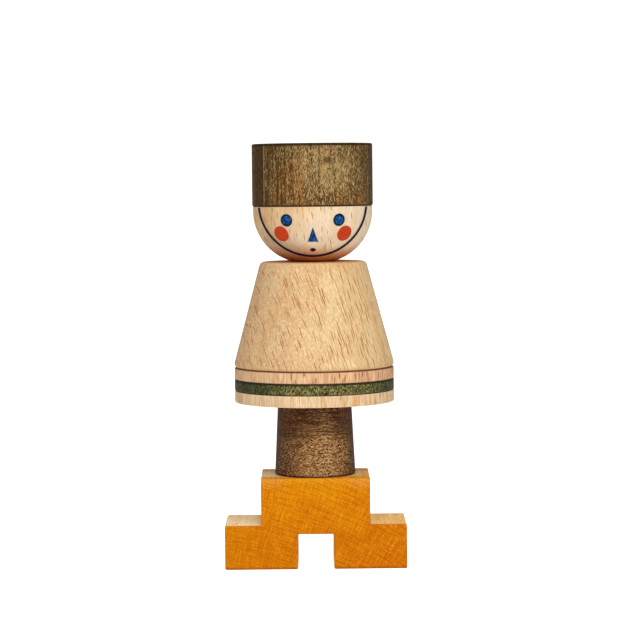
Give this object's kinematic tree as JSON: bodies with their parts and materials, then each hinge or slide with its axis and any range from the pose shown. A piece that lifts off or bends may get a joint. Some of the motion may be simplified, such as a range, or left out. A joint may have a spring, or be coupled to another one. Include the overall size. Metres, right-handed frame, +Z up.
{
  "type": "wooden stacking peg doll",
  "caption": "Stacking doll of turned wooden blocks threaded on a round peg that stands in a stepped pair of feet; the blocks turn and lift off.",
  "frame": {"origin": "on the floor, on the axis of the peg, midway between the feet", "axes": "+Z up along the peg, the face and the toes' front look towards -Y, +X across both feet"},
  "size_m": [0.0732, 0.0645, 0.1705],
  "materials": {
    "beech": "bare, sanded",
    "orange_wood": "stained, matte",
    "brown_wood": "stained, matte",
    "green_wood": "stained, matte",
    "olive_wood": "stained, matte",
    "blue_paint": "matte paint",
    "red_paint": "matte paint",
    "dark_paint": "matte paint"
  },
  "bodies": {
    "feet": {"feet": "orange_wood"},
    "peg": {"peg": "beech"},
    "leg": {"leg": "brown_wood"},
    "lower_disc": {"lower_disc": "beech"},
    "green_disc": {"green_disc": "green_wood"},
    "upper_disc": {"upper_disc": "beech"},
    "body": {"body": "beech"},
    "head": {"head": "beech", "blue_paint": "blue_paint", "red_paint": "red_paint", "dark_paint": "dark_paint"},
    "hat": {"hat": "olive_wood"}
  },
  "joints": [
    {"name": "peg_turn", "type": "hinge", "parent": "feet", "child": "peg", "pos_m": [0, 0, 0.0367], "axis": [0, 0, 1], "continuous": true},
    {"name": "leg_lift", "type": "slide", "parent": "peg", "child": "leg", "axis": [0, 0, 1], "range_m": [0, 0.132]},
    {"name": "lower_disc_lift", "type": "slide", "parent": "leg", "child": "lower_disc", "axis": [0, 0, 1], "range_m": [0, 0.102]},
    {"name": "green_disc_lift", "type": "slide", "parent": "lower_disc", "child": "green_disc", "axis": [0, 0, 1], "range_m": [0, 0.097]},
    {"name": "upper_disc_lift", "type": "slide", "parent": "green_disc", "child": "upper_disc", "axis": [0, 0, 1], "range_m": [0, 0.093]},
    {"name": "body_lift", "type": "slide", "parent": "upper_disc", "child": "body", "axis": [0, 0, 1], "range_m": [0, 0.088]},
    {"name": "head_lift", "type": "slide", "parent": "body", "child": "head", "axis": [0, 0, 1], "range_m": [0, 0.045]},
    {"name": "hat_lift", "type": "slide", "parent": "head", "child": "hat", "axis": [0, 0, 1], "range_m": [0, 0.023]}
  ]
}
